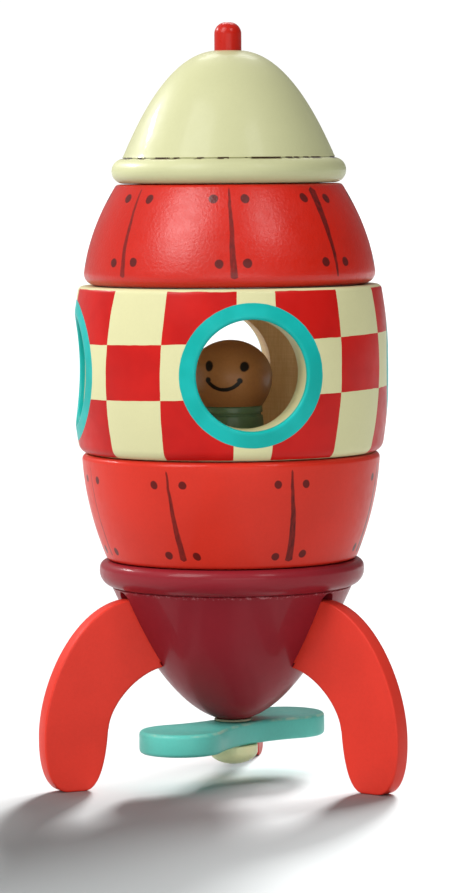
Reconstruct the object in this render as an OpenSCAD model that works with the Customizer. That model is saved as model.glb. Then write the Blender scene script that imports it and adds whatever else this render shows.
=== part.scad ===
// A stacking space rocket of turned and painted wood.
// Five sections stand on each other and hold together by magnets: a tail with three
// board fins and a loose propeller, a lower hull, a window drum with a doll inside,
// an upper hull and a nose.  They lift off and turn about the shared centre line.
// Millimetres, +Z up.  The origin is on the centre line at floor level, and the front
// porthole looks along -Y.  An azimuth counts from there, towards +X.

/* [Stack heights] */
// Height of the tail cone's tip above the floor
tail_clearance = 23; // [21:0.2:30]
// Height of the tail cone
cone_h = 49.8; // [38:0.2:60]
// Height of the rounded rim on top of the tail cone
tail_rim_h = 10; // [8:0.5:14]
// Height of the lower hull
lower_h = 39.6; // [30:0.2:50]
// Height of the window drum
window_h = 62; // [50:0.5:80]
// Height of the upper hull
upper_h = 37.2; // [30:0.2:46]
// Height of the nose rim
nose_rim_h = 9.4; // [8:0.2:12]
// Height of the nose dome
dome_h = 39.4; // [30:0.2:50]
// How far the nose tip stands out of the dome
tip_h = 10.4; // [6:0.2:14]

/* [Turned outlines] */
// Diameter of the window drum at its two ends
drum_end_d = 111.8; // [100:0.2:136]
// How much further the drum's side bulges at mid height
drum_bulge = 2.8; // [0:0.1:5]
// Thickness of the drum's wall at its ends
drum_wall = 16.9; // [13.5:0.1:22]
// Diameter of the tail rim
tail_rim_d = 98.2; // [80:0.2:118]
// How much further the lower hull's side bulges at mid height
lower_bulge = 1.8; // [0:0.1:4]
// Diameter of the nose rim
nose_rim_d = 86.6; // [70:0.2:104]
// How much further the upper hull's side bulges at mid height
upper_bulge = 2.6; // [0:0.1:4]
// Diameter of the nose tip, a dowel that pins the dome to its rim
tip_d = 10; // [7:0.2:13]
// Rounding of most turned edges
edge_r = 2; // [0.5:0.1:2.5]
// Rounding of the lower edge of the window drum and of the upper hull
soft_edge_r = 4.2; // [2:0.1:5]

/* [Portholes] */
// Diameter of the four holes through the drum's wall
porthole_d = 40; // [30:1:49]
// Azimuth of the right porthole from the front one
right_porthole_angle = 96; // [80:1:100]
// Azimuth of the left porthole from the front one, the other way round
left_porthole_angle = 93; // [80:1:100]

/* [Fins] */
// Thickness of the board that the fins are sawn from
fin_t = 7; // [5:0.1:9]
// Radius that the fins reach from the centre line
fin_reach = 76.3; // [68:0.1:92]
// Width of a fin's leg beside the propeller
fin_leg_w = 25; // [20:0.5:28]
// Width of the flat that a fin stands on
foot_w = 6; // [4:0.5:8]
// Height of the fin's root along the cone
fin_root_h = 25.4; // [20:0.2:28]
// Azimuth of the right fin; the others follow every third of a turn
fin_azimuth = 45.5; // [30:0.5:60]

/* [Propeller] */
// Thickness of the propeller's board
propeller_t = 8.4; // [5:0.1:9]
// Width of a propeller blade's round end
blade_w = 31; // [24:0.5:38]
// Width of the propeller beside its hole
propeller_waist_w = 17; // [14:0.5:20]
// Room between the propeller's tips and the fins
propeller_room = 5.6; // [3:0.2:9]
// Azimuth at which the propeller rests
propeller_azimuth = -47; // [-90:1:90]
// Diameter of the axle peg's shank
axle_d = 6.4; // [5:0.1:8]
// Diameter of the axle peg's mushroom head
axle_head_d = 18.2; // [14:0.2:22]
// Height of the axle peg's mushroom head
axle_head_h = 7.4; // [6:0.2:10.6]
// Thickness of the washer above the propeller
washer_t = 0.8; // [0.5:0.1:1.2]
// Outer diameter of the washer
washer_d = 14; // [12:0.5:17]

/* [Magnets] */
// Diameter of the centre magnets and their steel discs
disc_d = 18; // [12:0.5:22]
// Thickness of the centre magnets and their steel discs
disc_t = 3; // [2:0.5:4]
// Diameter of the eight small magnets in the drum's ends
rim_magnet_d = 8; // [6:0.5:9.5]
// Thickness of the small magnets
rim_magnet_t = 3; // [2:0.5:4]
// Thickness of the steel rings that the small magnets hold on to
keeper_t = 1.5; // [1:0.1:2]

/* [Astronaut] */
// Height of the doll's body up to its collar
doll_body_h = 17.1; // [14:0.1:21]
// Diameter of the body's foot
doll_foot_d = 28; // [24:0.5:34]
// Diameter of the body's neck
doll_neck_d = 23.2; // [19:0.2:28]
// Diameter of the mushroom head
head_d = 31; // [27:0.5:37]
// Height of the mushroom head
head_h = 24.3; // [20:0.1:29]
// Diameter of the peg that centres the doll on the lower hull
doll_peg_d = 6; // [5:0.2:7.2]

/* [Fits] */
// Gap between two sections' wooden faces
section_gap = 0.3; // [0.2:0.05:0.6]
// Gap between a magnet and the steel that it holds
magnet_gap = 0.05; // [0.02:0.01:0.1]
// Glue line round a piece that is glued in or on
glue = 0.05; // [0.02:0.01:0.1]
// Radial clearance of the propeller and the doll on their pegs
running = 0.08; // [0.03:0.01:0.1]
// Gap above and below the propeller
propeller_gap = 0.25; // [0.1:0.05:0.6]

/* [Hidden] */
$fn = 96;

// Levels, from the floor up
cone_z = tail_clearance;
cone_top_z = cone_z + cone_h;
lower_z = cone_top_z + tail_rim_h;
window_z = lower_z + lower_h;
upper_z = window_z + window_h;
nose_z = upper_z + upper_h;
dome_z = nose_z + nose_rim_h;
dome_top_z = dome_z + dome_h;
porthole_z = window_z + window_h / 2;

// How much slimmer each end is than the rim or drum that it meets
cone_top_step = 4.5;
lower_bottom_step = 2.9;
lower_top_step = 0.6;
upper_bottom_step = 1.6;
upper_top_step = 1.7;
dome_step = 4;
dome_top_ledge = 1;

// Radii at the seams
drum_end_r = drum_end_d / 2;
bore_r = drum_end_r - drum_wall;
lower_top_r = drum_end_r - lower_top_step;
upper_bottom_r = drum_end_r - upper_bottom_step;
tail_rim_r = tail_rim_d / 2;
lower_bottom_r = tail_rim_r - lower_bottom_step;
cone_top_r = tail_rim_r - cone_top_step;
cone_tip_r = 5.5;
nose_rim_r = nose_rim_d / 2;
upper_top_r = nose_rim_r - upper_top_step;
dome_r = nose_rim_r - dome_step;
dome_top_r = tip_d / 2 + dome_top_ledge;
bullnose_r = nose_rim_h / 2 - 0.1;

// The tail cone is a paraboloid whose apex lies this far below its flat tip
cone_foot = cone_h / (pow(cone_top_r / cone_tip_r, 2) - 1);

// The small magnets sit in the drum's wall, between the portholes
magnet_inset = 1.6;
magnet_circle_r = bore_r + magnet_inset + rim_magnet_d / 2;
magnet_azimuths = [right_porthole_angle / 2, 90 + right_porthole_angle / 2,
                   270 - left_porthole_angle / 2, 360 - left_porthole_angle / 2];
keeper_margin = 0.4;
keeper_in_r = magnet_circle_r - rim_magnet_d / 2 - keeper_margin;
keeper_out_r = magnet_circle_r + rim_magnet_d / 2 + keeper_margin;

// Propeller and its peg, hung under the cone
washer_z = cone_z - glue - washer_t;
propeller_z = washer_z - propeller_gap - propeller_t;
axle_head_z = propeller_z - propeller_gap - axle_head_h;
axle_rim_h = 2.4;
axle_grip = 22;
fin_inner_r = fin_reach - fin_leg_w;
propeller_r = fin_inner_r - propeller_room;
blade_r = blade_w / 2;

// Fins: the root stands in a slot whose upper end is round
slot_play = 0.1;
slot_w = fin_t + 2 * slot_play;
slot_end_below_top = 0.5;
slot_end_z = cone_top_z - slot_end_below_top - slot_w / 2;
fin_top_z = slot_end_z + fin_t / 10;
fin_low_z = fin_top_z - fin_root_h;
shoulder_h = 1.8;
slot_floor_r = axle_d / 2 + 18.5;
foot_inset = 9.3;
knee_below_tip = 2.2;
knee_z = cone_z - knee_below_tip;
fin_azimuths = [fin_azimuth - 120, fin_azimuth, fin_azimuth + 120];

// Doll
doll_z = window_z;
collar_z = doll_z + doll_body_h;
head_wide = 0.44;
tenon_r = doll_neck_d / 6;
tenon_h = 8;
doll_peg_up = 6;
doll_peg_down = 12;

tip_depth = dome_h + nose_rim_h - disc_t - 3;

// Points of a cubic curve through its two end points
function curve(a, b, c, d, steps = 12) = [
    for (i = [0:steps]) let (t = i / steps, s = 1 - t)
        s * s * s * a + 3 * s * s * t * b + 3 * s * t * t * c + t * t * t * d
];

// Points of an arc round centre c
function arc(c, r, from, to, steps = 7) = [
    for (i = [0:steps]) let (a = from + (to - from) * i / steps) c + r * [cos(a), sin(a)]
];

// Radius of a bulging side at height z
function side_r(z, z0, z1, r0, r1, bulge) =
    let (t = (z - z0) / (z1 - z0)) r0 + (r1 - r0) * t + 4 * bulge * t * (1 - t);

// Outline of a turned block: flat ends, a bulging side and rounded edges
function turned_outline(z0, z1, r0, r1, bulge, low_r, high_r, steps = 14) =
    let (
        low_a = -atan((r1 - r0 + 4 * bulge) / (z1 - z0)),
        high_a = -atan((r1 - r0 - 4 * bulge) / (z1 - z0)),
        low_z = z0 + low_r * (1 + sin(low_a)),
        high_z = z1 - high_r * (1 - sin(high_a)),
        low_c = [side_r(low_z, z0, z1, r0, r1, bulge) - low_r * cos(low_a), z0 + low_r],
        high_c = [side_r(high_z, z0, z1, r0, r1, bulge) - high_r * cos(high_a), z1 - high_r]
    )
    concat(
        [[0, z0]],
        arc(low_c, low_r, -90, low_a),
        [for (i = [1:steps - 1]) let (z = low_z + (high_z - low_z) * i / steps)
            [side_r(z, z0, z1, r0, r1, bulge), z]],
        arc(high_c, high_r, high_a, 90),
        [[0, z1]]
    );

// Radius of the tail cone at height z
function cone_r(z) = cone_top_r * sqrt((z - cone_z + cone_foot) / (cone_h + cone_foot));

module turned(z0, z1, r0, r1, bulge = 0, low_r = edge_r, high_r = edge_r) {
    rotate_extrude() polygon(turned_outline(z0, z1, r0, r1, bulge, low_r, high_r));
}

// A disc or pocket that starts at height z
module disc(z, d, h) {
    translate([0, 0, z]) cylinder(d = d, h = h);
}

// A disc let into the top face at level z, and the pocket that takes it
module top_disc(z) {
    disc(z - magnet_gap / 2 - disc_t, disc_d, disc_t);
}

module top_pocket(z) {
    disc(z - magnet_gap / 2 - disc_t - glue, disc_d + 2 * glue, disc_t + 1);
}

// The same in an underside
module bottom_disc(z) {
    disc(z + magnet_gap / 2, disc_d, disc_t);
}

module bottom_pocket(z) {
    disc(z + magnet_gap / 2 - 1, disc_d + 2 * glue, disc_t + 1 + glue);
}

// A flat ring round the centre line
module flat_ring(z, in_r, out_r, h) {
    translate([0, 0, z]) difference() {
        cylinder(r = out_r, h = h);
        translate([0, 0, -1]) cylinder(r = in_r, h = h + 2);
    }
}

// Places a child at each small magnet's azimuth on the magnet circle
module round_magnet_circle() {
    for (a = magnet_azimuths)
        rotate([0, 0, a]) translate([0, -magnet_circle_r, 0]) children();
}

// Turns a child that is drawn along +X to an azimuth
module face_azimuth(a) {
    rotate([0, 0, a - 90]) children();
}

// Slot in the cone for a fin's root, drawn along +X
module fin_slot() {
    far = cone_top_r + 10;
    low_z = fin_low_z + shoulder_h - slot_play;
    translate([slot_floor_r, -slot_w / 2, low_z])
        cube([far - slot_floor_r, slot_w, slot_end_z - low_z]);
    translate([slot_floor_r, 0, slot_end_z]) rotate([0, 90, 0])
        cylinder(d = slot_w, h = far - slot_floor_r);
}

module tail_cone() {
    top_z = cone_top_z - glue;
    steps = 20;
    color("#7d2738") difference() {
        rotate_extrude() polygon(concat(
            [[0, cone_z]],
            [for (i = [0:steps]) let (z = cone_z + (top_z - cone_z) * pow(i / steps, 2)) [cone_r(z), z]],
            [[0, top_z]]
        ));
        disc(cone_z - 1, axle_d + 2 * glue, axle_grip + 1 + glue);
        for (a = fin_azimuths) face_azimuth(a) fin_slot();
    }
}

module tail_rim() {
    color("#8a2b3f") difference() {
        turned(cone_top_z, lower_z - section_gap / 2, tail_rim_r, tail_rim_r,
               low_r = tail_rim_h * 0.58, high_r = tail_rim_h * 0.3);
        top_pocket(lower_z);
    }
}

// Side view of a fin, from the root round the toe and back along the leg
function fin_outline() =
    let (
        root_in = slot_floor_r + slot_play,
        top_r = cone_r(fin_top_z),
        low_r = cone_r(fin_low_z) + slot_play,
        shoulder_z = fin_low_z + shoulder_h,
        shoulder_r = cone_r(shoulder_z) + slot_play,
        reach = fin_reach,
        inner = fin_inner_r,
        foot_out = fin_reach - foot_inset,
        foot_in = foot_out - foot_w,
        hip_z = fin_top_z - 2.5
    )
    concat(
        [[root_in, fin_top_z]],
        curve([top_r, fin_top_z], [reach - 14, hip_z], [reach, fin_low_z - 4], [reach, knee_z - 1]),
        curve([reach, knee_z - 2], [reach, 7.5], [reach - 3.3, 0], [foot_out, 0]),
        curve([foot_in, 0], [foot_in - 6, 0], [inner + 1, 10], [inner, knee_z + 1.2]),
        curve([inner - 0.2, knee_z + 1.8], [inner - 1, knee_z + 10],
              [low_r + 11, fin_low_z - 2], [low_r, fin_low_z]),
        [[shoulder_r, shoulder_z], [root_in, shoulder_z]]
    );

module fin(azimuth) {
    color("#cb3d31") face_azimuth(azimuth) rotate([90, 0, 0])
        linear_extrude(height = fin_t, center = true) polygon(fin_outline());
}

// Mushroom head below, shank glued up into the cone
module axle_peg() {
    rim_z = axle_head_z + axle_head_h - axle_rim_h;
    head_r = axle_head_d / 2;
    dome = [for (i = [0:12]) let (a = 90 - 90 * i / 12)
        [head_r * cos(a), rim_z - (axle_head_h - axle_rim_h) * sin(a)]];
    color("#dcdcae") {
        rotate_extrude() polygon(concat(dome, [
            [head_r, rim_z + axle_rim_h],
            [axle_d / 2, rim_z + axle_rim_h],
            [axle_d / 2, cone_z + axle_grip],
            [0, cone_z + axle_grip]
        ]));
    }
}

module propeller_washer() {
    color("#d8cda0") flat_ring(washer_z, axle_d / 2 + running, washer_d / 2, washer_t);
}

// Two round blades joined by a narrow waist
module propeller() {
    lobe = propeller_r - blade_r;
    waist = propeller_waist_w / 2;
    // arcs of this radius run from the waist out to each blade
    neck_r = (lobe * lobe + waist * waist - blade_r * blade_r) / (2 * (blade_r - waist));
    neck_a = atan2(lobe, waist + neck_r);
    color("#4bb4a5") translate([0, 0, propeller_z]) rotate([0, 0, propeller_azimuth - 90])
        difference() {
            linear_extrude(height = propeller_t) polygon(concat(
                arc([0, waist + neck_r], neck_r, -90 - neck_a, -90 + neck_a, 12),
                arc([lobe, 0], blade_r, 90 - neck_a, -90 + neck_a, 24),
                arc([0, -waist - neck_r], neck_r, 90 - neck_a, 90 + neck_a, 12),
                arc([-lobe, 0], blade_r, 270 - neck_a, 90 + neck_a, 24)
            ));
            translate([0, 0, -1]) cylinder(d = axle_d + 2 * running, h = propeller_t + 2);
        }
}

module tail_disc() {
    color("#8d8f92") top_disc(lower_z);
}

module lower_hull() {
    top_z = window_z - section_gap / 2;
    color("#d23f33") difference() {
        turned(lower_z + section_gap / 2, top_z, lower_bottom_r, lower_top_r, lower_bulge);
        bottom_pocket(lower_z);
        keeper_pocket(window_z - magnet_gap / 2 - keeper_t - glue, keeper_t + glue + 1);
        disc(top_z - doll_peg_down - glue, doll_peg_d + 2 * glue, doll_peg_down + glue + 1);
    }
}

module keeper_pocket(z, h) {
    flat_ring(z, keeper_in_r - glue, keeper_out_r + glue, h);
}

module keeper_ring(z) {
    color("#8d8f92") flat_ring(z, keeper_in_r, keeper_out_r, keeper_t);
}

module lower_magnet() {
    color("#4a4b4e") bottom_disc(lower_z);
}

module lower_keeper_ring() {
    keeper_ring(window_z - magnet_gap / 2 - keeper_t);
}

module astronaut_peg() {
    top_z = window_z - section_gap / 2;
    color("#d9b27c") disc(top_z - doll_peg_down, doll_peg_d, doll_peg_down + doll_peg_up);
}

// Flared body with a collar groove near its top
module astronaut_body() {
    foot = doll_foot_d / 2;
    neck = doll_neck_d / 2;
    groove = 0.7;
    color("#3d5239") difference() {
        rotate_extrude() polygon(concat(
            [[0, doll_z], [foot - 1, doll_z], [foot, doll_z + 1]],
            curve([foot, doll_z + 1.2], [foot - 0.8, doll_z + doll_body_h * 0.35],
                  [neck + 0.6, doll_z + doll_body_h * 0.55], [neck + 0.3, collar_z - 3.6]),
            [[neck - groove, collar_z - 3], [neck + 0.2, collar_z - 2.4], [neck, collar_z], [0, collar_z]]
        ));
        disc(doll_z - 1, doll_peg_d + 2 * running, doll_peg_up + 1.4);
        disc(collar_z - tenon_h - glue, 2 * (tenon_r + glue), tenon_h + 1);
    }
}

// Mushroom head with a tenon that is glued into the body
module astronaut_head() {
    head_z = collar_z + glue;
    wide_z = head_z + head_h * head_wide;
    head_r = head_d / 2;
    under_h = (wide_z - head_z) / sqrt(1 - pow(doll_neck_d / head_d, 2));
    color("#69442a") {
        rotate_extrude() polygon(concat(
            [[0, head_z - tenon_h], [tenon_r, head_z - tenon_h], [tenon_r, head_z]],
            [for (i = [0:9]) let (z = head_z + (wide_z - head_z) * i / 10)
                [head_r * sqrt(1 - pow((wide_z - z) / under_h, 2)), z]],
            [for (i = [0:15]) let (a = 90 * i / 15)
                [head_r * cos(a), wide_z + (head_z + head_h - wide_z) * sin(a)]]
        ));
    }
}

// Open ring with a straight bore and four portholes
module window_drum() {
    low_z = window_z + section_gap / 2;
    high_z = upper_z - section_gap / 2;
    color("#e8e4ba") difference() {
        turned(low_z, high_z, drum_end_r, drum_end_r, drum_bulge, low_r = soft_edge_r);
        disc(low_z - 1, 2 * bore_r, high_z - low_z + 2);
        for (a = [0, right_porthole_angle, 180, -left_porthole_angle])
            rotate([90, 0, a]) translate([0, porthole_z, 0]) cylinder(d = porthole_d, h = drum_end_d);
        round_magnet_circle() {
            disc(window_z - 1, rim_magnet_d + 2 * glue, magnet_gap / 2 + rim_magnet_t + glue + 1);
            disc(upper_z - magnet_gap / 2 - rim_magnet_t - glue, rim_magnet_d + 2 * glue, rim_magnet_t + 2);
        }
    }
}

module drum_lower_magnets() {
    color("#4a4b4e") round_magnet_circle() disc(window_z + magnet_gap / 2, rim_magnet_d, rim_magnet_t);
}

module drum_upper_magnets() {
    color("#4a4b4e") round_magnet_circle()
        disc(upper_z - magnet_gap / 2 - rim_magnet_t, rim_magnet_d, rim_magnet_t);
}

module upper_hull() {
    color("#d43228") difference() {
        turned(upper_z + section_gap / 2, nose_z - section_gap / 2, upper_bottom_r, upper_top_r,
               upper_bulge, low_r = soft_edge_r);
        keeper_pocket(upper_z - 1, magnet_gap / 2 + keeper_t + glue + 1);
        top_pocket(nose_z);
    }
}

module upper_keeper_ring() {
    keeper_ring(upper_z + magnet_gap / 2);
}

module upper_disc() {
    color("#8d8f92") top_disc(nose_z);
}

module nose_rim() {
    color("#e2e2b4") difference() {
        turned(nose_z + section_gap / 2, dome_z - glue, nose_rim_r, nose_rim_r,
               low_r = bullnose_r - section_gap / 2, high_r = bullnose_r);
        bottom_pocket(nose_z);
        disc(dome_top_z - tip_depth - glue, tip_d + 2 * glue, tip_depth);
    }
}

module nose_dome() {
    color("#e2e2b4") difference() {
        rotate_extrude() polygon(concat(
            [[0, dome_z]],
            curve([dome_r, dome_z], [dome_r * 0.852, dome_z + dome_h * 0.343],
                  [dome_r * 0.56, dome_z + dome_h * 0.967], [dome_top_r - 1, dome_top_z], 24),
            [[0, dome_top_z]]
        ));
        disc(dome_z - 1, tip_d + 2 * glue, dome_h + 2);
    }
}

module nose_tip() {
    tip_r = tip_d / 2;
    tip_edge = tip_r * 0.7;
    top_z = dome_top_z + tip_h;
    color("#dc2d26") rotate_extrude() polygon(concat(
        [[0, dome_top_z - tip_depth], [tip_r, dome_top_z - tip_depth]],
        arc([tip_r - tip_edge, top_z - tip_edge], tip_edge, 0, 90, 9),
        [[0, top_z]]
    ));
}

module nose_magnet() {
    color("#4a4b4e") bottom_disc(nose_z);
}

tail_cone();
tail_rim();
fin(fin_azimuths[0]);  // fin_left
fin(fin_azimuths[1]);  // fin_right
fin(fin_azimuths[2]);  // fin_rear
axle_peg();
propeller_washer();
propeller();
tail_disc();
lower_hull();
lower_magnet();
lower_keeper_ring();
astronaut_peg();
astronaut_body();
astronaut_head();
window_drum();
drum_lower_magnets();
drum_upper_magnets();
upper_hull();
upper_keeper_ring();
upper_disc();
nose_rim();
nose_dome();
nose_tip();
nose_magnet();
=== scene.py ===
import math

import bmesh
import bpy
from mathutils import Matrix, Vector


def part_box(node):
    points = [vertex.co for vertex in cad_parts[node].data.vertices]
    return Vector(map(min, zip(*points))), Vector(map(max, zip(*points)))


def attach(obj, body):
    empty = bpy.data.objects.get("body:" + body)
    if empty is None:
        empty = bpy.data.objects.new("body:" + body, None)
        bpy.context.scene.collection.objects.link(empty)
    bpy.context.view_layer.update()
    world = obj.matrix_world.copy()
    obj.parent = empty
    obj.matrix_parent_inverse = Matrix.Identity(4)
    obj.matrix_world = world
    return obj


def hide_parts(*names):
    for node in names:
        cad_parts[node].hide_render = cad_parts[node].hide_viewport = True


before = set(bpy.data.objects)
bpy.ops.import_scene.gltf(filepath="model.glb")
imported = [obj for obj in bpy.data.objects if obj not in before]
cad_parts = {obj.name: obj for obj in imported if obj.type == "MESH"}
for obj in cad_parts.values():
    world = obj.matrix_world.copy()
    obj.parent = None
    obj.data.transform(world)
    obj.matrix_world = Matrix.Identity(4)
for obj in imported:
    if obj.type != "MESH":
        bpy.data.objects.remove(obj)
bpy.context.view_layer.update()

# Everything is drawn in millimetres and brought to metres as a piece is finished.
mmToMetre = 0.001
glue = 0.05  # glue line round a piece that is glued in
running = 0.08  # play of the propeller and the doll on their pegs
lead = 0.5  # a loop this far inside each rounded edge keeps a flat flat


def corners(node):
    low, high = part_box(node)
    return low / mmToMetre, high / mmToMetre


def bottomOf(node):
    return corners(node)[0].z


def topOf(node):
    return corners(node)[1].z


def radiusOf(node):
    # the widest a turned piece gets, even where holes are cut through its sides
    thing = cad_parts[node]
    return max((thing.matrix_world @ v.co).xy.length for v in thing.data.vertices) / mmToMetre


# outlines: lists of (radius, height)

def bezier(a, b, c, d, steps=16):
    points = []
    for i in range(steps + 1):
        t = i / steps
        s = 1 - t
        points.append(tuple(s**3 * p + 3 * s * s * t * q + 3 * s * t * t * u + t**3 * v
                            for p, q, u, v in zip(a, b, c, d)))
    return points


def arc(centre, radius, start, end, steps=8):
    points = []
    for i in range(steps + 1):
        angle = math.radians(start + (end - start) * i / steps)
        points.append((centre[0] + radius * math.cos(angle), centre[1] + radius * math.sin(angle)))
    return points


def turnedShape(node, lowRadius, highRadius, lowEdge, highEdge, bulge=0):
    # a turned piece between a node's two levels
    return {"low": bottomOf(node), "high": topOf(node), "lowRadius": lowRadius, "highRadius": highRadius,
            "lowEdge": lowEdge, "highEdge": highEdge, "bulge": bulge}


def bulgingSide(z, shape):
    t = (z - shape["low"]) / (shape["high"] - shape["low"])
    straight = shape["lowRadius"] + (shape["highRadius"] - shape["lowRadius"]) * t
    return straight + 4 * shape["bulge"] * t * (1 - t)


def turnedSide(shape, steps=20):
    # a bulging side with both its edges rounded, from the lower flat to the upper one
    rise = shape["high"] - shape["low"]
    taper = shape["highRadius"] - shape["lowRadius"]
    lowTilt = -math.atan((taper + 4 * shape["bulge"]) / rise)
    highTilt = -math.atan((taper - 4 * shape["bulge"]) / rise)
    lowEdge, highEdge = shape["lowEdge"], shape["highEdge"]
    lowZ = shape["low"] + lowEdge * (1 + math.sin(lowTilt))
    highZ = shape["high"] - highEdge * (1 - math.sin(highTilt))
    lowCentre = (bulgingSide(lowZ, shape) - lowEdge * math.cos(lowTilt), shape["low"] + lowEdge)
    highCentre = (bulgingSide(highZ, shape) - highEdge * math.cos(highTilt), shape["high"] - highEdge)
    heights = [lowZ + (highZ - lowZ) * i / steps for i in range(1, steps)]
    side = [(bulgingSide(z, shape), z) for z in heights]
    return (arc(lowCentre, lowEdge, -90, math.degrees(lowTilt)) + side
            + arc(highCentre, highEdge, math.degrees(highTilt), 90))


def pocket(radius, floor, face):
    # outline of a round pocket in a flat face, from the middle out
    return [(0, floor), (radius - 0.4, floor), (radius, floor), (radius, face)]


def ringPocket(inner, outer, floor, face):
    return [(inner, face), (inner, floor), (outer, floor), (outer, face)]


def turnedBlock(shape, lowFace, highFace):
    # lowFace and highFace are what is cut into the two flats, from the middle out
    side = turnedSide(shape)
    (lowFlat, lowZ), (highFlat, highZ) = side[0], side[-1]
    return lowFace + [(lowFlat - lead, lowZ)] + side + [(highFlat - lead, highZ)] + highFace[::-1]


# meshes

def spinOutline(outline, steps=180):
    bm = bmesh.new()
    verts = [bm.verts.new((r, 0, z)) for r, z in outline]
    edges = [bm.edges.new(pair) for pair in zip(verts, verts[1:])]
    bmesh.ops.spin(bm, geom=verts + edges, cent=(0, 0, 0), axis=(0, 0, 1), dvec=(0, 0, 0),
                   angle=2 * math.pi, steps=steps, use_merge=True, use_duplicate=False)
    bmesh.ops.remove_doubles(bm, verts=bm.verts, dist=0.001)
    bmesh.ops.recalc_face_normals(bm, faces=bm.faces)
    return bm


def cylinder(radius, depth):
    bm = bmesh.new()
    bmesh.ops.create_cone(bm, cap_ends=True, segments=48, radius1=radius, radius2=radius, depth=depth)
    return bm


def addObject(name, data):
    thing = bpy.data.objects.new(name, data)
    bpy.context.scene.collection.objects.link(thing)
    return thing


def finishPiece(bm, name, body, nodes, materials, sharpAngle=38):
    bmesh.ops.scale(bm, vec=(mmToMetre,) * 3, verts=bm.verts)
    for face in bm.faces:
        face.smooth = True
    for edge in bm.edges:
        edge.smooth = edge.calc_face_angle(0) < math.radians(sharpAngle)
    mesh = bpy.data.meshes.new(name)
    bm.to_mesh(mesh)
    bm.free()
    for material in materials:
        mesh.materials.append(material)
    piece = addObject(name, mesh)
    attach(piece, body)
    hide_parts(*nodes)


def cutOut(bm, cutters):
    # takes the cutters' shapes out of a mesh with a Boolean, and gives back the new mesh
    target = addObject("cutTarget", bpy.data.meshes.new("cutTarget"))
    tool = addObject("cutTool", bpy.data.meshes.new("cutTool"))
    bm.to_mesh(target.data)
    cutters.to_mesh(tool.data)
    bm.free()
    cutters.free()
    cut = target.modifiers.new("cut", "BOOLEAN")
    cut.operation = "DIFFERENCE"
    cut.solver = "EXACT"
    cut.object = tool
    bpy.context.view_layer.update()
    result = bmesh.new()
    result.from_object(target, bpy.context.evaluated_depsgraph_get())
    for thing in (target, tool):
        bpy.data.meshes.remove(thing.data)
    bmesh.ops.remove_doubles(result, verts=result.verts, dist=0.0005)
    return result


def faceEnds(bm, isHere, materialIndex, radius):
    # gives flat end faces within a radius their own material
    for face in bm.faces:
        centre = face.calc_center_median()
        if abs(face.normal.z) > 0.99 and centre.xy.length < radius and isHere(centre.z):
            face.material_index = materialIndex


# materials

def linear(red, green, blue):
    # screen colour, 0 to 255, to the renderer's scale
    def channel(c):
        return ((c / 255 + 0.055) / 1.055) ** 2.4 if c > 10 else c / 3294
    return channel(red), channel(green), channel(blue), 1


class Field:
    # a value that varies over a surface, so that a pattern can be written as a formula
    def __init__(self, tree, socket):
        self.tree = tree
        self.socket = socket

    def __add__(self, other):
        return calc("ADD", self, other)

    def __sub__(self, other):
        return calc("SUBTRACT", self, other)

    def __rsub__(self, other):
        return calc("SUBTRACT", other, self)

    def __mul__(self, other):
        return calc("MULTIPLY", self, other)

    def __truediv__(self, other):
        return calc("DIVIDE", self, other)

    def __abs__(self):
        return calc("ABSOLUTE", self)


def feed(node, inputs):
    for key, value in inputs.items():
        if isinstance(value, Field):
            value.tree.links.new(value.socket, node.inputs[key])
        else:
            node.inputs[key].default_value = value


def put(tree, kind, inputs=None, **settings):
    node = tree.nodes.new("ShaderNode" + kind)
    for key, value in settings.items():
        setattr(node, key, value)
    feed(node, inputs or {})
    return node


def fieldFrom(tree, kind, output, inputs=None, **settings):
    return Field(tree, put(tree, kind, inputs, **settings).outputs[output])


def calc(operation, *values):
    tree = next(value.tree for value in values if isinstance(value, Field))
    return fieldFrom(tree, "Math", 0, dict(enumerate(values)), operation=operation)


def vectors(operation, a, b, output=0):
    return fieldFrom(a.tree, "VectorMath", output, {0: a, 1: b}, operation=operation)


def stretch(vector, x, y, z):
    return vectors("MULTIPLY", vector, (x, y, z))


def along(vector, direction):
    return vectors("DOT_PRODUCT", vector, direction, "Value")


def split(vector, kind="SeparateXYZ"):
    return [Field(vector.tree, socket) for socket in put(vector.tree, kind, {0: vector}).outputs]


def hypot(u, v):
    return calc("SQRT", u * u + v * v)


def largest(first, *others):
    result = first
    for other in others:
        result = calc("MAXIMUM", result, other)
    return result


def noise(vector, scale, detail=3.0, roughness=0.5):
    # the scale counts the lumps in a millimetre
    return fieldFrom(vector.tree, "TexNoise", 0, {"Vector": vector, "Scale": scale, "Detail": detail,
                                                  "Roughness": roughness})


def between(value, low, high):
    # 0 at low, 1 at high, smooth in between; low may be above high
    return fieldFrom(value.tree, "MapRange", 0, {"Value": value, "From Min": low, "From Max": high},
                     interpolation_type="SMOOTHSTEP")


def rescale(value, low, high, toLow, toHigh):
    return fieldFrom(value.tree, "MapRange", 0, {"Value": value, "From Min": low, "From Max": high,
                                                 "To Min": toLow, "To Max": toHigh})


def mixColour(share, a, b):
    return fieldFrom(share.tree, "Mix", 2, {0: share, 6: a, 7: b}, data_type="RGBA")


def bump(height):
    # relief from a height in millimetres
    return fieldFrom(height.tree, "Bump", 0, {"Height": height, "Strength": 1.0, "Distance": mmToMetre})


def ramp(value, stops):
    # colour and fourth channel of the last stop that the value has passed
    node = put(value.tree, "ValToRGB", {0: value})
    elements = node.color_ramp.elements
    node.color_ramp.interpolation = "CONSTANT"
    for i, (position, colour) in enumerate(stops):
        element = elements[i] if i < 2 else elements.new(position)
        element.position = position
        element.color = colour
    return [Field(value.tree, socket) for socket in node.outputs]


def placeOf(mm):
    # where a point of the surface is, in millimetres and degrees
    x, y, z = split(mm)
    azimuth = calc("DEGREES", calc("ARCTAN2", x, y * -1))
    return {"mm": mm, "x": x, "y": y, "z": z, "radius": hypot(x, y), "azimuth": azimuth}


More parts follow.
